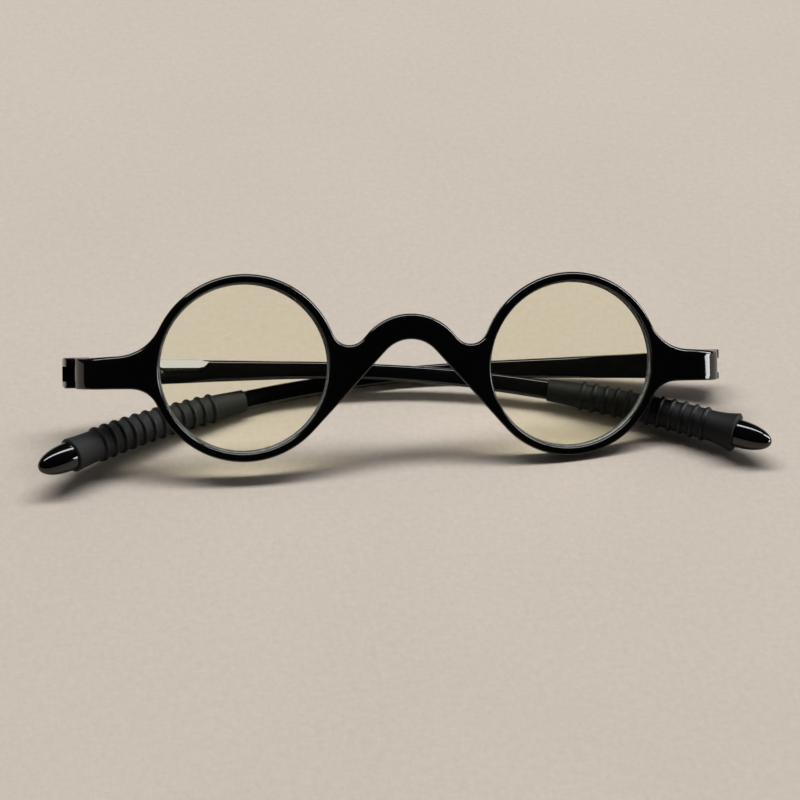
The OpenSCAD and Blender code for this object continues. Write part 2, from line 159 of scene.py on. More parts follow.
def moulded(loops, spacing):
    """Closed solid between flat loops. Each is (points with the material on their left, wall).
    Points at a spacing fill its two caps, apart from those that crowd an edge."""
    crowded, tolerance = 0.45 * spacing, 1e-7
    points, faces, front, back = [], [], [], []
    for loop, wall in loops:
        along = np.roll(loop, -1, 0) - np.roll(loop, 1, 0)
        inward = np.stack([-along[:, 1], along[:, 0]], 1)
        inward = inward / np.linalg.norm(along, axis=1)[:, None]
        n, first = len(loop), sum(len(p) for p in points)
        for inset, depth in wall:
            depths = np.broadcast_to(np.asarray(depth, float), n)
            insets = np.broadcast_to(np.asarray(inset, float), n)
            points.append(np.column_stack([loop + inward * insets[:, None], depths]))
        for i in range(len(wall) - 1):
            for k in range(n):
                a, b = first + i * n + k, first + i * n + (k + 1) % n
                faces.append((a, b, b + n, a + n))
        front.append((first, n))
        back.append((first + (len(wall) - 1) * n, n))
    points = np.concatenate(points)
    for ends in (front, back):
        ids = np.concatenate([np.arange(a, a + n) for a, n in ends])
        edges, at = [], 0
        for _, n in ends:
            edges += [(at + k, at + (k + 1) % n) for k in range(n)]
            at += n
        rings = [points[a:a + n, :2] for a, n in ends]
        flat = points[ids, :2]
        low, high = flat.min(0), flat.max(0)
        grid = np.stack(np.meshgrid(*(np.arange(low[i], high[i], spacing) for i in (0, 1))), -1)
        grid = grid.reshape(-1, 2)
        grid = grid[inside(grid, rings)]
        if len(grid):
            gap = [np.hypot(*(flat - p).T).min() for p in grid]
            grid = grid[np.array(gap) > crowded]
        # The depth of a point inside a cap is that of the cap's nearest edge
        near = [ids[np.hypot(*(flat - p).T).argmin()] for p in grid]
        extra = np.column_stack([grid, points[near, 2]]) if len(grid) else np.zeros((0, 3))
        ids = np.concatenate([ids, len(points) + np.arange(len(grid))])
        points = np.concatenate([points, extra])
        made = delaunay_2d_cdt([Vector(p) for p in points[ids, :2]], edges, [], 0, tolerance)
        origin = [ids[o[0]] for o in made[3]]
        corners = np.array([list(f) for f in made[2]])
        middles = np.array([[made[0][i][:] for i in f] for f in corners]).mean(1)
        for f in corners[inside(middles, rings)]:
            faces.append(tuple(int(origin[i]) for i in f))
    return points, faces


def piece(name, shells):
    """One object from closed shells of metres on the table, with its faces outwards."""
    mesh = bpy.data.meshes.new(name)
    points = np.concatenate([p for p, _ in shells])
    faces, first = [], 0
    for p, f in shells:
        faces += [tuple(first + i for i in one) for one in f]
        first += len(p)
    mesh.from_pydata(points.tolist(), [], faces)
    obj = bpy.data.objects.new(name, mesh)
    bpy.context.scene.collection.objects.link(obj)
    return tidy_mesh(obj)


def tidy_mesh(obj, sharp=SHARP):
    """Merges doubles, turns the faces outwards and shades them smooth up to an angle."""
    work = bmesh.new()
    work.from_mesh(obj.data)
    bmesh.ops.remove_doubles(work, verts=work.verts, dist=MERGE * MM)
    bmesh.ops.dissolve_degenerate(work, edges=work.edges, dist=SLIVER * MM)
    bmesh.ops.recalc_face_normals(work, faces=work.faces)
    work.to_mesh(obj.data)
    work.free()
    obj.data.shade_smooth()
    obj.data.set_sharp_from_angle(angle=radians(sharp))
    return obj


# The right half of the outline, from the top of the nose opening round to the top of the bridge.
# Names in _c are middles of arcs, and each arc ends where it touches the next
nose_c, arch_c = np.array([0, NOSE_TOP - NOSE_R]), np.array([0, ARCH_TOP - ARCH_R])
rim_c = np.array([LENS_X, 0.0])
swell_c = rim_c + SWELL * np.array([cos(SWELL_TURN), sin(SWELL_TURN)])
to_swell = swell_c - arch_c
reach = np.linalg.norm(to_swell)
along = to_swell / reach
ahead = (reach ** 2 + (ARCH_R + NOTCH_R) ** 2 - (RIM_R + NOTCH_R) ** 2) / (2 * reach)
aside = sqrt((ARCH_R + NOTCH_R) ** 2 - ahead ** 2)
notch_c = arch_c + along * ahead + np.array([-along[1], along[0]]) * aside
flank = rim_c - nose_c
flank_turn = pi / 2 - asin((NOSE_R + RIM_R) / np.linalg.norm(flank)) + atan2(flank[1], flank[0])
flank_n = np.array([cos(flank_turn), sin(flank_turn)])
end_top, end_low = END_H / 2 - END_DROP, -END_H / 2 - END_DROP
top_up = end_top + END_RISE + SHOULDER_TOP
top_c = np.array([LENS_X + sqrt((RIM_R + SHOULDER_TOP) ** 2 - top_up ** 2), top_up])
low_c = np.array([LENS_X + sqrt((RIM_R + SHOULDER_LOW) ** 2 - (SHOULDER_LOW - end_low) ** 2),
                  end_low - SHOULDER_LOW])
bend_start = FACE_R * sin(atan2(corner_x, FACE_R - bow - corner_y))
bend_turn = asin(bend_start / FACE_R)
bend_end = bend_start + CORNER_R * (pi / 2 - bend_turn)
end_u = bend_end + JOINT_Y - corner_y
rim_to_top = atan2(top_c[1], top_c[0] - LENS_X)
rim_to_low = atan2(low_c[1], low_c[0] - LENS_X)
swell_to_notch = atan2(notch_c[1] - swell_c[1], notch_c[0] - swell_c[0])
notch_to_arch = atan2(arch_c[1] - notch_c[1], arch_c[0] - notch_c[0])
crown = SWELL_TURN - pi / 2
half = np.concatenate([
    arc(nose_c, NOSE_R, pi / 2, flank_turn),
    straight(nose_c + NOSE_R * flank_n, rim_c - RIM_R * flank_n),
    arc(rim_c, RIM_R, flank_turn + pi, 2 * pi + rim_to_low),
    arc(low_c, SHOULDER_LOW, rim_to_low + pi, pi / 2),
    straight((low_c[0], end_low), (end_u - JOINT_ROUND, end_low)),
    arc((end_u - JOINT_ROUND, end_low + JOINT_ROUND), JOINT_ROUND, -pi / 2, 0),
    straight((end_u, end_low + JOINT_ROUND), (end_u, end_top - JOINT_ROUND)),
    arc((end_u - JOINT_ROUND, end_top - JOINT_ROUND), JOINT_ROUND, 0, pi / 2),
    straight((end_u - JOINT_ROUND, end_top), (RISE_FROM, end_top)),
    straight((RISE_FROM, end_top), (top_c[0], end_top + END_RISE)),
    arc(top_c, SHOULDER_TOP, -pi / 2, rim_to_top - pi),
    arc(rim_c, RIM_R, rim_to_top, crown),
    arc(swell_c, RIM_R, crown, swell_to_notch),
    arc(notch_c, NOTCH_R, swell_to_notch - pi, notch_to_arch),
    arc(arch_c, ARCH_R, notch_to_arch + pi, pi / 2),
])
outline = np.concatenate([half, [[0, ARCH_TOP]], (half[1:] * [-1, 1])[::-1]])
for _ in range(OUTLINE_SMOOTHINGS):
    outline = (np.roll(outline, 1, 0) + 2 * outline + np.roll(outline, -1, 0)) / 4


def bend_to_face(points):
    """Lays the flat moulding on the front's curve, bends its ends back and tilts them."""
    side, u, z = np.where(points[:, 0] < 0, -1, 1), np.abs(points[:, 0]), points[:, 1]
    end = smooth_step(THICK_FROM, THICK_TO, u)
    thick = PLATE_T + (END_T - PLATE_T) * end
    thick = thick + (RIM_T - PLATE_T) * smooth_step(PLAIN_R, PROUD_R, np.hypot(u - LENS_X, z))
    depth = PLATE_T / 2 + (END_T - PLATE_T) / 2 * end + points[:, 2] * thick / RIM_T
    x = np.minimum(u, bend_start)
    curve = FACE_R - bow - np.sqrt(FACE_R ** 2 - x ** 2)
    slope = LENS_X / sqrt(FACE_R ** 2 - LENS_X ** 2)
    level = FACE_R - bow - sqrt(FACE_R ** 2 - LENS_X ** 2) + slope * (x - LENS_X)
    flat = smooth_step(CURVED_R, RIM_R, np.abs(u - LENS_X))
    turn = np.arcsin(x / FACE_R) * (1 - flat) + np.arctan(slope) * flat
    y = curve + (level - curve) * flat
    bend = bend_turn + np.clip((u - bend_start) / CORNER_R, 0, pi / 2 - bend_turn)
    past = u > bend_start
    r = CORNER_R - depth
    x = np.where(past, corner_x + r * np.sin(bend), x - depth * np.sin(turn))
    y = np.where(past, corner_y - r * np.cos(bend) + np.maximum(0, u - bend_end),
                 y + depth * np.cos(turn))
    tilt = HINGE_TILT * smooth_step(TILT_FROM, TILT_TO, u)
    back, up = y - tilt_y, z + END_DROP
    y = tilt_y + back * np.cos(tilt) + up * np.sin(tilt)
    z = up * np.cos(tilt) - back * np.sin(tilt) - END_DROP
    return np.column_stack([x * side, y, z])


near_joint = smooth_step(end_u - JOINT_FADE, end_u - JOINT_PLAIN, np.abs(outline[:, 0]))
# The upper edges are rounded more than the lower ones
onward = np.roll(outline, -1, 0) - np.roll(outline, 1, 0)
facing_up = -onward[:, 0] / np.linalg.norm(onward, axis=1)
front_edge = EDGE_LOW + (EDGE_ROUND - EDGE_LOW) * smooth_step(LOW_EDGE, HIGH_EDGE, facing_up)
front_edge = front_edge + (JOINT_ROUND - front_edge) * near_joint
back_edge = BACK_ROUND + (JOINT_ROUND - BACK_ROUND) * near_joint
outer_wall = round_wall(front_edge, back_edge, RIM_T / 2, BODY_WALL_STEPS,
                        DRAFT * (1 - near_joint))
lip = [(LIP_CHAMFER + LIP_SOFT, 0), (LIP_CHAMFER - LIP_SOFT, LIP_SET),
       (LIP_SOFT, LIP_CHAMFER - LIP_SET), (0, LIP_CHAMFER + LIP_SOFT), (0, RIM_T / 2 - GROOVE)]
lip = [(inset, depth - RIM_T / 2) for inset, depth in lip]
lip = lip + [(GROOVE, 0)] + [(inset, -depth) for inset, depth in reversed(lip)]
openings = [(arc((side * LENS_X, 0), LIP_R, 2 * pi, 0), lip) for side in (-1, 1)]
body, body_faces = moulded([(outline, outer_wall)] + openings, BODY_SPACING)
front_shells = [(on_table(bend_to_face(body)), body_faces)]
root_y = -AXIS_BACK - TONGUE_ROOT
tongue = np.concatenate([
    straight((TONGUE_R, root_y), (TONGUE_R, 0)), arc((0, 0), TONGUE_R, 0, pi, TONGUE_STEP),
    straight((-TONGUE_R, 0), (-TONGUE_R, root_y)),
    straight((-TONGUE_R, root_y), (TONGUE_R, root_y)),
])
tongue_wall = round_wall(TONGUE_ROUND, TONGUE_ROUND, TONGUE_H / 2, TONGUE_WALL_STEPS)
bore = arc((0, 0), BORE_R, 2 * pi, 0, BORE_STEP)
bore_wall = [(0, -TONGUE_H / 2), (0, TONGUE_H / 2)]
tongue, tongue_faces = moulded([(tongue, tongue_wall), (bore, bore_wall)], TONGUE_SPACING)
tongue = tongue - [0, 0, TONGUE_DROP]
front_shells += [(on_table(from_hinge(tongue, side)), tongue_faces) for side in (-1, 1)]


class Value:
    """A socket's value in a node tree. Sums, products and powers of values add Math nodes."""

    def __init__(self, nodes, socket):
        self.nodes, self.socket = nodes, socket

    def math(self, operation, a, b=None):
        sockets = {0: a} if b is None else {0: a, 1: b}
        return self.nodes.add("ShaderNodeMath", {"operation": operation}, sockets)

    def __add__(self, other):
        return self.math("ADD", self, other)

    def __sub__(self, other):
        return self.math("SUBTRACT", self, other)

    def __rsub__(self, other):
        return self.math("SUBTRACT", other, self)

    def __mul__(self, other):
        return self.math("MULTIPLY", self, other)

    def __truediv__(self, other):
        return self.math("DIVIDE", self, other)

    def __pow__(self, other):
        return self.math("POWER", self, other)

    def __lt__(self, other):
        return self.math("LESS_THAN", self, other)

    def __gt__(self, other):
        return self.math("GREATER_THAN", self, other)

    __radd__, __rmul__ = __add__, __mul__

    def clamped(self):
        return self.nodes.add("ShaderNodeClamp", {}, {"Value": self})

    def out(self, name):
        return Value(self.nodes, self.socket.node.outputs[name])


class Nodes:
    """The nodes of one tree. add() makes any node from its type, settings and sockets."""

    def __init__(self, tree):
        self.tree = tree
        tree.nodes.clear()

    def add(self, kind, settings=None, sockets=None, output=0):
        node = self.tree.nodes.new(kind)
        for name, value in (settings or {}).items():
            setattr(node, name, value)
        for name, value in (sockets or {}).items():
            if isinstance(value, Value):
                self.tree.links.new(value.socket, node.inputs[name])
            else:
                node.inputs[name].default_value = value
        return Value(self, node.outputs[output]) if node.outputs else node

    def blend(self, factor, a, b):
        """Mix of two colours."""
        return self.add("ShaderNodeMix", {"data_type": "RGBA"}, {0: factor, 6: a, 7: b}, 2)

    def noise(self, scale, detail=2.0, roughness=0.5, stretch=None):
        """Noise on the piece's own coordinates, with its scale per millimetre."""
        place = self.add("ShaderNodeTexCoord").out("Object")
        if stretch:
            place = self.add("ShaderNodeVectorMath", {"operation": "MULTIPLY"},
                             {0: place, 1: stretch})
        return self.add("ShaderNodeTexNoise", {}, {"Vector": place, "Scale": scale / MM,
                                                   "Detail": detail, "Roughness": roughness})

    def bump(self, height, distance, strength):
        """Bump of a height that varies from 0 to 1 over a distance in millimetres."""
        return self.add("ShaderNodeBump", {}, {"Height": height, "Distance": distance * MM,
                                               "Strength": strength})

    def surface(self, **sockets):
        """Ends the tree in a Principled shader. Socket names have _ for a space."""
        sockets = {name.replace("_", " "): value for name, value in sockets.items()}
        shader = self.add("ShaderNodeBsdfPrincipled", {}, sockets)
        self.add("ShaderNodeOutputMaterial", {}, {"Surface": shader})


def new_material(name):
    """An empty material, ready for its nodes."""
    material = bpy.data.materials.new(name)
    material.use_nodes = True
    return material, Nodes(material.node_tree)


def black_plastic(name, colour):
    """Polished black moulded plastic, with a faint flow of the melt and handling haze."""
    gloss, hazed, faded = 0.07, 0.12, 1.9
    material, nodes = new_material(name)
    haze = nodes.noise(0.12, detail=4, roughness=0.6)
    flow = nodes.noise(0.5)
    fine = nodes.noise(6)
    base = nodes.blend((haze - 0.35) * 0.8, (*colour, 1), (*(c * faded for c in colour), 1))
    rough = gloss + (haze - 0.5).clamped() * hazed + (fine - 0.5).clamped() * hazed / 2
    nodes.surface(Base_Color=base, Roughness=rough, IOR=1.5,
                  Normal=nodes.bump(flow, distance=0.02, strength=0.35))
    return material


def fit(obj, material, body, slot, *nodes):
    """Gives a finished piece its material and its body, and hides the CAD nodes it stands for.
    Its slot is not used.
    """
    obj.data.materials.clear()
    obj.data.materials.append(material)
    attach(obj, body)
    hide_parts(*nodes)


front_black = black_plastic("front_black_plastic", (0.003, 0.003, 0.003))
fit(piece("front_moulding", front_shells), front_black, "front_frame", "frame_black", "front")

# Lenses

# Two round meniscus lenses in clear plastic with a pale yellow tint, spun to a bevelled edge
# and snapped into the grooves of the rims.
LENS_T, LENS_FRONT_R, LENS_BACK_R, LENS_CLEAR, LENS_IOR = 1.5, 88.0, 125.0, 0.05, 1.25
LENS_ROWS, LENS_SIDES = 25, 180
# Width of the ground ring on the back, inside the bevel
GROUND_W = 0.35
TINT_DEEP, TINT_PALE, VEIL = (0.995, 0.975, 0.82, 1), (1.0, 0.99, 0.86, 1), (0.95, 0.94, 0.86, 1)
GROUND_DARK, GROUND_PALE = (0.12, 0.13, 0.14, 1), (0.36, 0.38, 0.41, 1)
lens_r = LIP_R - LENS_CLEAR
rows = np.append(np.linspace(0, lens_r - GROUND_W, LENS_ROWS + 1)[1:], lens_r)
front_sag = LENS_FRONT_R - np.sqrt(LENS_FRONT_R ** 2 - rows ** 2)
back_sag = LENS_BACK_R - np.sqrt(LENS_BACK_R ** 2 - rows ** 2)
lens_front = (RIM_T - LENS_T) / 2 - front_sag[-1]
lens_back = (RIM_T + LENS_T) / 2 - back_sag[-1]
section = list(zip(rows, lens_front + front_sag))
section += [(lens_r, RIM_T / 2 - GROOVE), (lens_r + GROOVE, RIM_T / 2),
            (lens_r, RIM_T / 2 + GROOVE)]
section += list(zip(rows, lens_back + back_sag))[::-1]


def spun(section, poles, sides):
    """Closed solid of revolution from (radius, depth) steps between two poles."""
    turns = np.linspace(0, 2 * pi, sides, endpoint=False)
    points = [[0, poles[0], 0]]
    points += [[r * cos(a), y, r * sin(a)] for r, y in section for a in turns]
    points.append([0, poles[1], 0])
    faces, last = [], len(points) - 1
    for k in range(sides):
        a, b = 1 + k, 1 + (k + 1) % sides
        faces.append((0, a, b))
        for i in range(len(section) - 1):
            at = i * sides
            faces.append((a + at, a + at + sides, b + at + sides, b + at))
        at = (len(section) - 1) * sides
        faces.append((a + at, last, b + at))
    return np.array(points), faces


lens_clear, nodes = new_material("lens_clear_yellow")
wipe = nodes.noise(0.09, detail=5, roughness=0.6)
tint = nodes.blend(wipe, TINT_DEEP, TINT_PALE)
glass = nodes.add("ShaderNodeBsdfPrincipled", {}, {
    "Base Color": tint, "Roughness": 0.0, "IOR": LENS_IOR, "Transmission Weight": 1.0})
# Light passes straight through on its way to the table, so a lens throws only a faint shadow
veil = nodes.add("ShaderNodeBsdfTransparent", {}, {"Color": VEIL})
shadow = nodes.add("ShaderNodeLightPath").out("Is Shadow Ray")
both = nodes.add("ShaderNodeMixShader", {}, {0: shadow, 1: glass, 2: veil})
nodes.add("ShaderNodeOutputMaterial", {}, {"Surface": both})
lens_ground, nodes = new_material("lens_ground_edge")
frost = nodes.noise(1.2, detail=3, roughness=0.6)
nodes.surface(Base_Color=nodes.blend(frost, GROUND_DARK, GROUND_PALE),
              Roughness=0.18 + frost * 0.2, Normal=nodes.bump(frost, distance=0.03, strength=0.4))
wrap = asin(LENS_X / FACE_R)
for side, name in ((-1, "lens_left"), (1, "lens_right")):
    points, faces = spun(section, (lens_front, lens_back), LENS_SIDES)
    points = points @ np.array(Matrix.Rotation(side * wrap, 3, "Z")).T
    middle = [side * LENS_X, (PLATE_T - RIM_T) / 2, 0]
    points = points + middle
    lens = piece(name.replace("lens", "clear_lens"), [(on_table(points), faces)])
    fit(lens, lens_clear, "front_frame", "lens_clear", name)
    lens.data.materials.append(lens_ground)
    ends = on_table([middle, np.array(middle) + [-side * sin(wrap), cos(wrap), 0]])
    start, axis = Vector(ends[0]), Vector(ends[1] - ends[0]).normalized()
    for face in lens.data.polygons:
        out = face.center - start
        depth = out.dot(axis)
        ground_from = lens_r - GROUND_W if depth > RIM_T / 2 * MM else LIP_R
        if (out - axis * depth).length > ground_from * MM:
            face.material_index = 1

# Temples

# Each temple is one black moulding: a forked hinge end, a flat bowed arm that turns down behind
# the ear, a round core under the sleeve and a smooth drop-shaped tip.

# Lengths from the hinge axis, then thicknesses, heights and the diameter of the core
TEMPLE_L, TIP_L, TIP_R, SLEEVE_L = 134.5, 7.0, 2.7, 37.5
ARM_T_HINGE, ARM_H_HINGE, ARM_T, ARM_H_MID, ARM_H_EAR, CORE = 4.3, 5.7, 2.6, 3.0, 3.6, 2.9
# Degrees by which an arm starts outwards and bows inwards, and the stretch of the ear bend
ARM_FLARE, ARM_BOW, BEND_FROM, BEND_TO = 10.0, 28.5, 38.5, 122.6
# Butt end, the fork's running clearance, the screw head's seat, and how far the fork is open
BUTT, BUTT_ROUND, FORK_CLEAR, HEAD_R, HEAD_H, FORK_SIDE = 4.4, 0.35, 0.1, 1.09, 0.6, 8
# Cross-section: squareness of the flat arm near the hinge and further on, 1 being round
SQUARE_HINGE, SQUARE_ARM, SQUARE_FROM, SQUARE_TO = 0.12, 0.55, 19, 25
SIDES, CORNER_CROWD, MEAN_STEP, SOFTENING = 72, 0.15, 0.5, 2.5
# The tip's blunt point, and the step where it stands proud of the sleeve's bore
TIP_ROWS, TIP_BLUNT, TIP_POWER, TIP_STEP, TIP_SEAT = 22, 0.999, 2.2, 0.25, 0.05
# The left arm's upper inner corner is trimmed near the hinge, and its inner face is dented
trims, dents = {-1: 0.68, 1: 0.0}, {-1: 0.35, 1: 0.0}
TRIM_START, TRIM_END, DENT_START, DENT_END = (11.5, 13), (24.5, 22.3), (14, 14.8), (22.1, 21.3)
DENT_EDGE, DENT_DEEP = 0.3, 0.1
# Each arm's own dip, turn and bend in degrees, and how far short of the front it folds
ways = {-1: (0.33, 18.0, 14.9), 1: (1.0, 19.4, 15.8)}
folds = {-1: radians(3.2448), 1: radians(6.8448)}
names = {-1: "left", 1: "right"}
sleeve_from = TEMPLE_L - TIP_L - SLEEVE_L
sleeve_to = TEMPLE_L - TIP_L


def course(r, way):
    """Heading and slope of an arm, in radians, at distances from the hinge axis."""
    dip, turn, bend = way
    bent = np.clip((r - BEND_FROM) / (BEND_TO - BEND_FROM), 0, 1)
    return (np.radians(ARM_FLARE - ARM_BOW * r / TEMPLE_L - turn * bent),
            np.radians(dip + bend * bent))


def middle_line(r, way):
    """Points on an arm's middle line at distances from the hinge axis, also behind it."""
    heading, slope = course(np.arange(0, TEMPLE_L + 2, MEAN_STEP), way)
    run = np.stack([np.cos(slope) * np.cos(heading), np.cos(slope) * np.sin(heading),
                    -np.sin(slope)], 1) * MEAN_STEP
    line = np.concatenate([np.zeros((1, 3)), np.cumsum(run, 0)])
    at = np.arange(len(line)) * MEAN_STEP
    points = np.stack([np.interp(r, at, line[:, i]) for i in range(3)], 1)
    points[:, 0] += np.minimum(r, 0)
    return points + [0, AXIS_IN - ARM_T_HINGE / 2, 0]


def folded(points, side):
    """Turns a temple, laid out from its hinge axis, to where it lies folded on the table."""
    turned = points * [1, -1, 1] @ np.array(Matrix.Rotation(pi - folds[side], 3, "Z")).T
    return on_table(from_hinge(turned, side))


def eased(r, stops):
    """Runs through the stops in straight lines, with each corner softened."""
    at, values = zip(*stops)
    shifts = np.linspace(-SOFTENING, SOFTENING, 9)
    return np.mean([np.interp(r + s, at, values) for s in shifts], 0)


def loft(rings):
    """Closed skin through rings of the same number of points."""
    n, m = len(rings[0]), len(rings)
    faces = [(i * n + k, i * n + (k + 1) % n, (i + 1) * n + (k + 1) % n, (i + 1) * n + k)
             for i in range(m - 1) for k in range(n)]
    faces += [tuple(range(n)), tuple(range((m - 1) * n, m * n))]
    return np.concatenate(rings), faces


def ring(centre, heading, slope, width, height, square, trim, dent):
    """One cross-section, from round at square 1 towards a box at square 0. Its upper inner
    corner can be trimmed, and its inner face dented."""
    q = (np.arange(SIDES) + 0.5) * 2 * pi / SIDES
    q = q + CORNER_CROWD * np.sin(4 * q)
    n = 2 / square
    reach = (np.abs(np.cos(q)) ** n + np.abs(np.sin(q)) ** n) ** (-1 / n)
    x, y = width / 2 * reach * np.cos(q), height / 2 * reach * np.sin(q)
    over = np.maximum(0, 2 * y / height - 2 * x / width - 2 + trim) / 2 if trim else 0
    x, y = x + over * width / 2, y - over * height / 2
    x = x + dent * (x < 0) * smooth_step(DENT_EDGE, DENT_DEEP, np.abs(2 * y / height))
    across = np.array([-sin(heading), cos(heading), 0])
    upward = np.array([sin(slope) * cos(heading), sin(slope) * sin(heading), cos(slope)])
    return centre + x[:, None] * across + y[:, None] * upward


def temple_rings(way, trim, dent):
    """Cross-sections of a temple from its butt end to the point of its tip."""
    # Closely spaced where it is rounded or trimmed, and at the neck, where it becomes the core
    neck_at = np.array([0.3, 0.2, 0.12, 0.06, 0.03])
    r = np.concatenate([
        -BUTT + BUTT_ROUND * (1 - np.cos(np.linspace(0, pi / 2, 6))), np.arange(-3.9, 3, 0.3),
        np.arange(3, 10, 0.5), np.arange(10, 24, 0.2), np.arange(24, sleeve_from - 0.6, 0.6),
        sleeve_from - neck_at, np.arange(sleeve_from, sleeve_to - 0.5, 1.2), [sleeve_to]])
    ease = np.clip(1 - (r + BUTT) / BUTT_ROUND, 0, 1)
    inset = 2 * BUTT_ROUND * (1 - np.sqrt(1 - ease ** 2))
    width = eased(r, [(0, ARM_T_HINGE), (BEND_FROM / 3, (ARM_T_HINGE + ARM_T) / 2),
                      (BEND_FROM, ARM_T), (sleeve_from, ARM_T)])
    height = eased(r, [(0, ARM_H_HINGE), (BEND_FROM / 3, (ARM_H_HINGE + ARM_H_EAR) / 2),
                       (BEND_FROM, (ARM_H_MID + ARM_H_EAR) / 2 + 0.1),
                       (1.5 * BEND_FROM, ARM_H_MID), (sleeve_from, ARM_H_EAR)])
    neck = np.interp(sleeve_from - r, neck_at[:0:-1], [1, 0.25, 0.08, 0])
    width, height = width + (CORE - width) * neck, height + (CORE - height) * neck
    square = SQUARE_HINGE + (SQUARE_ARM - SQUARE_HINGE) * smooth_step(SQUARE_FROM, SQUARE_TO, r)
    square = square + (1 - SQUARE_ARM) * neck
    u = np.sin(np.linspace(0, pi / 2, TIP_ROWS))
    tip = 2 * TIP_R * np.sqrt(np.maximum(0, 1 - (u * TIP_BLUNT) ** TIP_POWER))
    tip_r = sleeve_to + np.append(0.4 * TIP_SEAT, TIP_SEAT + (TIP_L - TIP_SEAT) * u)
    tip = np.append(2 * TIP_R - TIP_STEP, tip)
    r, width, height = (np.concatenate(both) for both in (
        (r, tip_r), (width - inset, tip), (height - inset, tip)))
    square = np.concatenate([square, np.ones(len(tip))])
    heading, slope = course(np.maximum(r, 0), way)
    lead = smooth_step(0, 5, r)
    trim = trim * smooth_step(*TRIM_START, r) * smooth_step(*TRIM_END, r)
    dent = dent * smooth_step(*DENT_START, r) * smooth_step(*DENT_END, r)
    return [ring(*values) for values in zip(middle_line(r, way), heading * lead, slope * lead,
                                            width, height, square, trim, dent)]


def prism(outline, low, high):
    """Upright solid on a flat outline."""
    outline = np.asarray(outline, float)
    return loft([np.column_stack([outline, np.full(len(outline), z)]) for z in (low, high)])


slot_r = TONGUE_R + FORK_CLEAR
slot = np.concatenate([
    [(-BUTT - 1, -FORK_SIDE), (slot_r, -FORK_SIDE)], arc((0, 0), slot_r, 0, pi / 2, 0.1),
    [(0, slot_r), (-BUTT - 1, slot_r)]])
slot_low, slot_high = (s * (TONGUE_H / 2 + FORK_CLEAR) - TONGUE_DROP for s in (-1, 1))
cuts = [prism(slot, slot_low, slot_high),
        prism(arc((0, 0), BORE_R, 0, 2 * pi, BORE_STEP), -END_H, END_H),
        prism(arc((0, 0), HEAD_R, 0, 2 * pi, TONGUE_STEP), END_H / 2 - HEAD_H, END_H)]
temple_black = black_plastic("temple_black_plastic", (0.003, 0.003, 0.0035))
for side in (-1, 1):
    points, faces = loft(temple_rings(ways[side], trims[side], dents[side]))
    # The inner corner of the butt end follows a circle round the hinge axis, to clear the front
    far = np.hypot(points[:, 0], points[:, 1])
    wide = (points[:, 0] < 0) & (points[:, 1] < 0) & (far > BUTT)
    points[wide, :2] *= (BUTT / far[wide])[:, None]
    temple = piece(f"temple_{names[side]}_moulding", [(folded(points, side), faces)])
    for cut_points, cut_faces in cuts:
        cutter = piece("cutter", [(folded(cut_points, side), cut_faces)])
        cut = temple.modifiers.new("cut", "BOOLEAN")
        cut.operation, cut.solver, cut.object = "DIFFERENCE", "EXACT", cutter
        result = bpy.data.meshes.new_from_object(
            temple.evaluated_get(bpy.context.evaluated_depsgraph_get()))
        temple.modifiers.clear()
        temple.data = result
        bpy.data.objects.remove(cutter)
    tidy_mesh(temple)
    fit(temple, temple_black, f"temple_{names[side]}_arm", "temple_black",
        f"temple_{names[side]}")

# Hinge screws

# A slotted steel screw goes down through the fork and the tongue of each hinge. The CAD
# solids have its head, slot and shank, so they stay and get a brushed finish.
STEEL_DARK, STEEL_PALE = (0.5, 0.5, 0.51, 1), (0.68, 0.67, 0.66, 1)
screw_steel, nodes = new_material("screw_brushed_steel")
brushed = nodes.noise(3, detail=3, roughness=0.6, stretch=(1, 1, 0.1))
steel = nodes.blend(brushed, STEEL_DARK, STEEL_PALE)
nodes.surface(Base_Color=steel, Metallic=1.0, Roughness=0.22 + brushed * 0.2,
              Normal=nodes.bump(brushed, distance=0.01, strength=0.4))
for side in (-1, 1):
    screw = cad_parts[f"hinge_screw_{names[side]}"]
    screw.data.materials.clear()
    screw.data.materials.append(screw_steel)

# Sleeves

# A soft black rubber tube is pushed over each ear end, up to the tip. It starts narrow and
# smooth, has twelve beads for grip, and flares to a lip that is cut off flat.

# Outer radii at the start, at the first bead and at the last, and the clearance round the core
SLEEVE_R_START, SLEEVE_R_FIRST, SLEEVE_R_END, SLEEVE_CLEAR = 2.05, 2.8, 3.35, 0.05
RIBS, RIB_PITCH, RIB_SHARE, RIB_DEPTH, SLEEVE_PLAIN = 12, 2.22, 0.42, 0.42, 6.25
# How full a bead is, how late the lip flares, and the rounding of its cut edge
RIB_FULL, FLARE_LATE, CUT_ROUND = 0.7, 1.9, 0.3
OUTER_ROWS, BORE_ROWS, ROUND_POINTS, SLEEVE_MERGE, SLEEVE_SHARP = 601, 40, 65, 0.004, 50
# The two sleeves differ in their flare and in how pale the rubber is between the beads
flares = {-1: 0.85, 1: 0.3}
between_bead_tones = {-1: (0.0035, 0.004, 0.0042), 1: (0.0145, 0.0165, 0.0165)}
RUBBER_COLOUR = (0.004, 0.005, 0.007)

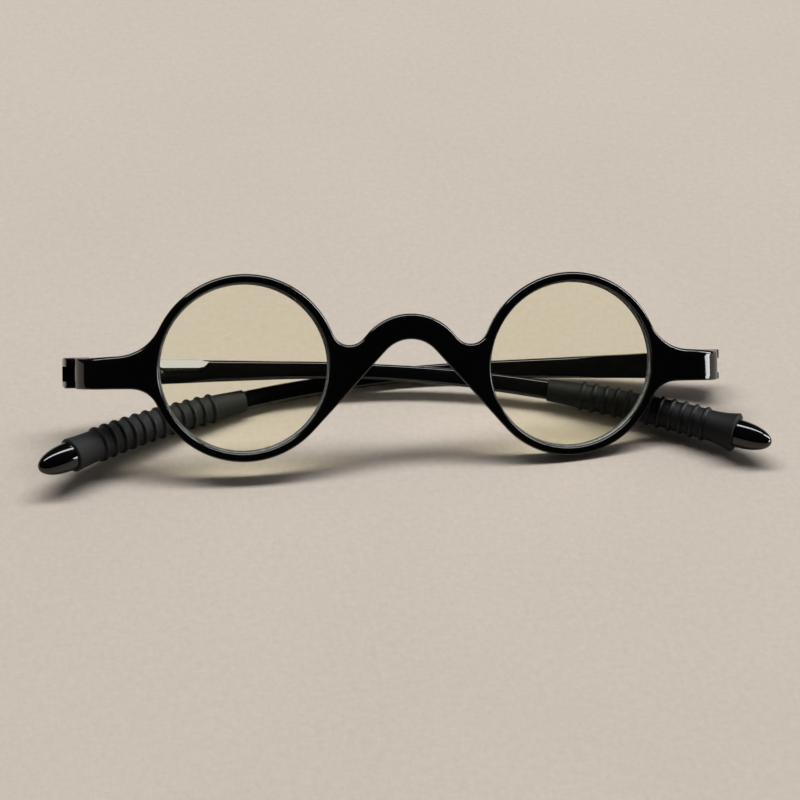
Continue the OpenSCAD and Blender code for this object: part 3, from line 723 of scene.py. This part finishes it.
sleeve_tree = bpy.data.node_groups.new("ribbed_sleeve", "GeometryNodeTree")
for label, kind in (("Line", "Geometry"), ("Length", "Float"), ("Start Radius", "Float"),
                    ("First Radius", "Float"), ("Last Radius", "Float"),
                    ("Bore Radius", "Float"), ("Plain Length", "Float"), ("Ribs", "Int"),
                    ("Rib Pitch", "Float"), ("Rib Share", "Float"), ("Rib Depth", "Float"),
                    ("Lip Flare", "Float"), ("Rubber", "Material")):
    sleeve_tree.interface.new_socket(label, in_out="INPUT", socket_type="NodeSocket" + kind)
sleeve_tree.interface.new_socket("Sleeve", in_out="OUTPUT", socket_type="NodeSocketGeometry")
nodes = Nodes(sleeve_tree)
given = nodes.add("NodeGroupInput")
length, pitch, plain, ribs = (given.out(n) for n in ("Length", "Rib Pitch", "Plain Length",
                                                     "Ribs"))
curve = nodes.add("GeometryNodeMeshToCurve", {}, {0: given.out("Line")})
grid = nodes.add("GeometryNodeMeshGrid", {}, {
    "Size X": 1.0, "Size Y": 1.0, "Vertices X": OUTER_ROWS + BORE_ROWS,
    "Vertices Y": ROUND_POINTS})
place = nodes.add("ShaderNodeSeparateXYZ", {}, {0: nodes.add("GeometryNodeInputPosition")})
row = (place.out("X") + 0.5) * (OUTER_ROWS + BORE_ROWS - 1)
around = (place.out("Y") + 0.5) * (2 * pi)
# The rows run out along the ribs, turn in at the lip, come back down the bore and close
in_bore = row > OUTER_ROWS - 0.5
last = row > OUTER_ROWS + BORE_ROWS - 1.5
out_along = (row / (OUTER_ROWS - 1)).clamped()
back_along = (1 - (row - OUTER_ROWS) / (BORE_ROWS - 2)).clamped()
x = (out_along + (back_along - out_along) * in_bore) * length
past_plain = (x - plain) / pitch
rib_number = nodes.add("ShaderNodeMath", {"operation": "FLOOR"}, {0: past_plain})
in_rib = (past_plain - rib_number) / given.out("Rib Share")
on_rib = (in_rib < 1) * (past_plain > 0) * (rib_number < ribs - 0.5)
relief = (1 - (in_rib * 2 - 1) ** 2).clamped() ** RIB_FULL * on_rib
to_first, to_last = (x / plain).clamped(), (past_plain / (ribs - 1)).clamped()
start_r, first_r, last_r = (given.out(n) for n in ("Start Radius", "First Radius",
                                                   "Last Radius"))
valley = start_r + (first_r - start_r) * to_first + (last_r - first_r) * to_last
ribs_end = plain + (ribs - 1 + given.out("Rib Share")) * pitch
lip_from = length - CUT_ROUND * MM
opening = ((x - ribs_end) / (lip_from - ribs_end)).clamped() ** FLARE_LATE
cut_edge = ((x - lip_from) / (CUT_ROUND * MM)).clamped() ** 2
outer = valley + relief * given.out("Rib Depth") + opening * given.out("Lip Flare")
outer = outer - cut_edge * given.out("Rib Depth") * 0.5
wall_in = in_bore * (1 - last)
radius = outer + (given.out("Bore Radius") - outer) * wall_in
sample = nodes.add("GeometryNodeSampleCurve", {"mode": "LENGTH"},
                   {"Curves": curve, "Length": x}, "Position")
aside = nodes.add("ShaderNodeVectorMath", {"operation": "CROSS_PRODUCT"},
                  {0: sample.out("Tangent"), 1: sample.out("Normal")})
cosine = nodes.add("ShaderNodeMath", {"operation": "COSINE"}, {0: around})
sine = nodes.add("ShaderNodeMath", {"operation": "SINE"}, {0: around})
spoke = nodes.add("ShaderNodeVectorMath", {"operation": "SCALE"},
                  {0: sample.out("Normal"), "Scale": cosine * radius})
spoke_2 = nodes.add("ShaderNodeVectorMath", {"operation": "SCALE"},
                    {0: aside, "Scale": sine * radius})
spoke = nodes.add("ShaderNodeVectorMath", {}, {0: spoke, 1: spoke_2})
put = nodes.add("ShaderNodeVectorMath", {}, {0: sample.out("Position"), 1: spoke})
stored = nodes.add("GeometryNodeStoreNamedAttribute", {}, {
    "Geometry": grid, "Name": "relief", "Value": relief * (1 - in_bore)})
tube = nodes.add("GeometryNodeSetPosition", {}, {"Geometry": stored, "Position": put})
tube = nodes.add("GeometryNodeMergeByDistance", {}, {"Geometry": tube,
                                                       "Distance": SLEEVE_MERGE * MM})
tube = nodes.add("GeometryNodeRealizeInstances", {}, {"Geometry": tube})
tube = nodes.add("GeometryNodeSetMaterial", {}, {"Geometry": tube,
                                                 "Material": given.out("Rubber")})
nodes.add("NodeGroupOutput", {}, {"Sleeve": tube})


def grown(obj, tree, values):
    """Runs a node tree on an object with named values and leaves a plain mesh."""
    modifier = obj.modifiers.new(tree.name, "NODES")
    modifier.node_group = tree
    ids = {s.name: s.identifier for s in tree.interface.items_tree if s.in_out == "INPUT"}
    for label, value in values.items():
        modifier[ids[label]] = value
    obj.data.update()
    made = bpy.data.meshes.new_from_object(
        obj.evaluated_get(bpy.context.evaluated_depsgraph_get()))
    obj.modifiers.clear()
    obj.data = made
    return obj


for side in (-1, 1):
    rubber, nodes = new_material(f"sleeve_rubber_{names[side]}")
    relief = nodes.add("ShaderNodeAttribute", {"attribute_name": "relief"}, output="Fac")
    cloud = nodes.noise(0.35, detail=4, roughness=0.6)
    grain = nodes.noise(9, detail=3, roughness=0.6)
    # The rubber is coloured paler between the beads and darker on them, by a different amount on
    # each sleeve
    between_beads = ((1 - relief) ** 2) * (0.65 + cloud * 0.7)
    colour = nodes.blend(between_beads.clamped(), (*RUBBER_COLOUR, 1), (*between_bead_tones[side], 1))
    nodes.surface(Base_Color=colour, Roughness=0.5 + between_beads * 0.15 + (grain - 0.5) * 0.2,
                  Specular_IOR_Level=0.25,
                  Normal=nodes.bump(grain, distance=0.03, strength=0.5))
    line = middle_line(np.arange(sleeve_from, sleeve_to + 0.3, 0.25), ways[side])
    mesh = bpy.data.meshes.new("line")
    mesh.from_pydata(folded(line, side).tolist(), [(i, i + 1) for i in range(len(line) - 1)], [])
    sleeve = bpy.data.objects.new(f"ribbed_sleeve_{names[side]}", mesh)
    bpy.context.scene.collection.objects.link(sleeve)
    grown(sleeve, sleeve_tree, {
        "Length": SLEEVE_L * MM, "Start Radius": SLEEVE_R_START * MM,
        "First Radius": (SLEEVE_R_FIRST - RIB_DEPTH) * MM,
        "Last Radius": (SLEEVE_R_END - RIB_DEPTH) * MM,
        "Bore Radius": (CORE / 2 + SLEEVE_CLEAR) * MM, "Plain Length": SLEEVE_PLAIN * MM,
        "Ribs": RIBS, "Rib Pitch": RIB_PITCH * MM, "Rib Share": RIB_SHARE,
        "Rib Depth": RIB_DEPTH * MM, "Lip Flare": flares[side] * MM, "Rubber": rubber})
    tidy_mesh(sleeve, SLEEVE_SHARP)
    fit(sleeve, rubber, f"temple_{names[side]}_arm", "sleeve_rubber", f"sleeve_{names[side]}")

# Table

# The glasses lie on a pale sheet of fine woven cloth, which is laid flat over a table and fills
# the picture. Its threads and a few paler patches show only faintly.
TABLE_W = 4.0
CLOTH_DARK, CLOTH_PALE = (0.545, 0.475, 0.408, 1), (0.63, 0.56, 0.49, 1)
mesh = bpy.data.meshes.new("table_cloth")
mesh.from_pydata([(-TABLE_W / 2, -TABLE_W / 2, 0), (TABLE_W / 2, -TABLE_W / 2, 0),
                  (TABLE_W / 2, TABLE_W / 2, 0), (-TABLE_W / 2, TABLE_W / 2, 0)], [],
                 [(0, 1, 2, 3)])
table = bpy.data.objects.new("table_cloth", mesh)
bpy.context.scene.collection.objects.link(table)
cloth, nodes = new_material("table_pale_cloth")
thread, cross = (nodes.noise(1.1, detail=3, roughness=0.65, stretch=stretch)
                 for stretch in ((0.5, 1, 1), (1, 0.5, 1)))
patch = nodes.noise(0.02)
weave = thread * 0.5 + cross * 0.5
tone = (weave - 0.5) * 2.2 + 0.5 + (patch - 0.5) * 0.5
colour = nodes.blend(tone.clamped(), CLOTH_DARK, CLOTH_PALE)
nodes.surface(Base_Color=colour, Roughness=0.9,
              Normal=nodes.bump(weave, distance=0.15, strength=0.35))
table.data.materials.append(cloth)
table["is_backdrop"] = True

# Light

# A long soft light hangs behind the glasses and high up. The room gives a dim fill from behind
# that doesn't show in the black gloss. A strip and a card at the right only show in the gloss.


def soft_light(name, away, turn, up, size, energy):
    """Area light at a distance, a turn from straight behind and a height angle."""
    data = bpy.data.lights.new(name, "AREA")
    data.shape, data.size, data.size_y, data.energy = "RECTANGLE", *size, energy
    light = bpy.data.objects.new(name, data)
    light.location = Vector((cos(up) * sin(turn), cos(up) * cos(turn), sin(up))) * away
    light.rotation_euler = (-light.location).to_track_quat("-Z", "Y").to_euler()
    bpy.context.scene.collection.objects.link(light)
    return light


soft_light("key_light", away=4.0, turn=0, up=radians(69), size=(6.0, 0.75), energy=192)
end_card = soft_light("end_card", away=1.5, turn=radians(108), up=radians(8.5),
                      size=(0.7, 0.3), energy=8.5)
side_strip = soft_light("side_strip", away=6.0, turn=radians(77), up=radians(30),
                        size=(1.1, 4.5), energy=300)
end_card.visible_diffuse = side_strip.visible_diffuse = False
ROOM_DIM, ROOM_FILL, ROOM_COLOUR = 0.02, 0.3, (1.0, 0.97, 0.94, 1)
world = bpy.data.worlds.new("room")
world.use_nodes = True
world.cycles_visibility.glossy = False
nodes = Nodes(world.node_tree)
way = nodes.add("ShaderNodeSeparateXYZ", {}, {0: nodes.add("ShaderNodeTexCoord")})
behind = nodes.add("ShaderNodeMapRange", {"interpolation_type": "SMOOTHSTEP"},
                   {"Value": way.out("Y"), "From Min": -0.3, "From Max": 0.5})
room = nodes.add("ShaderNodeBackground", {}, {"Color": ROOM_COLOUR,
                                              "Strength": ROOM_DIM + behind * ROOM_FILL})
nodes.add("ShaderNodeOutputWorld", {}, {"Surface": room})
bpy.context.scene.world = world

# Camera

# The camera looks down on the glasses from a little to the left of the front's own normal, at
# a reader's distance, through a long lens.
CAMERA_AWAY, YAW, PITCH, TWIST = 450.0, radians(10.6), radians(6.52), radians(0.41)
FOCAL_LENGTH, SENSOR_W, SHIFT_X, SHIFT_Y = 108.84, 36.0, -0.013, -0.0416
aim = np.array([-sin(YAW) * cos(PITCH), -cos(YAW) * cos(PITCH), sin(PITCH)])
eye = Vector(on_table([aim * CAMERA_AWAY])[0])
back = Vector(lying @ aim).normalized()
right = Vector(lying @ np.cross([0, 0, 1], aim)).normalized()
upward = back.cross(right)
right, upward = (right * cos(TWIST) + upward * sin(TWIST),
                 upward * cos(TWIST) - right * sin(TWIST))
camera_data = bpy.data.cameras.new("camera")
camera_data.lens, camera_data.sensor_width = FOCAL_LENGTH, SENSOR_W
camera_data.shift_x, camera_data.shift_y = SHIFT_X, SHIFT_Y
camera = bpy.data.objects.new("camera", camera_data)
camera.matrix_world = Matrix((right, upward, back)).transposed().to_4x4()
camera.location = eye
bpy.context.scene.collection.objects.link(camera)
bpy.context.scene.camera = camera
bpy.context.scene.view_settings.view_transform = "Standard"


def plain(box):
    """The corners of a box as plain lists of numbers."""
    return [list(map(float, corner)) for corner in box]


{"cad": plain(cad_box), "visual": plain(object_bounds())}
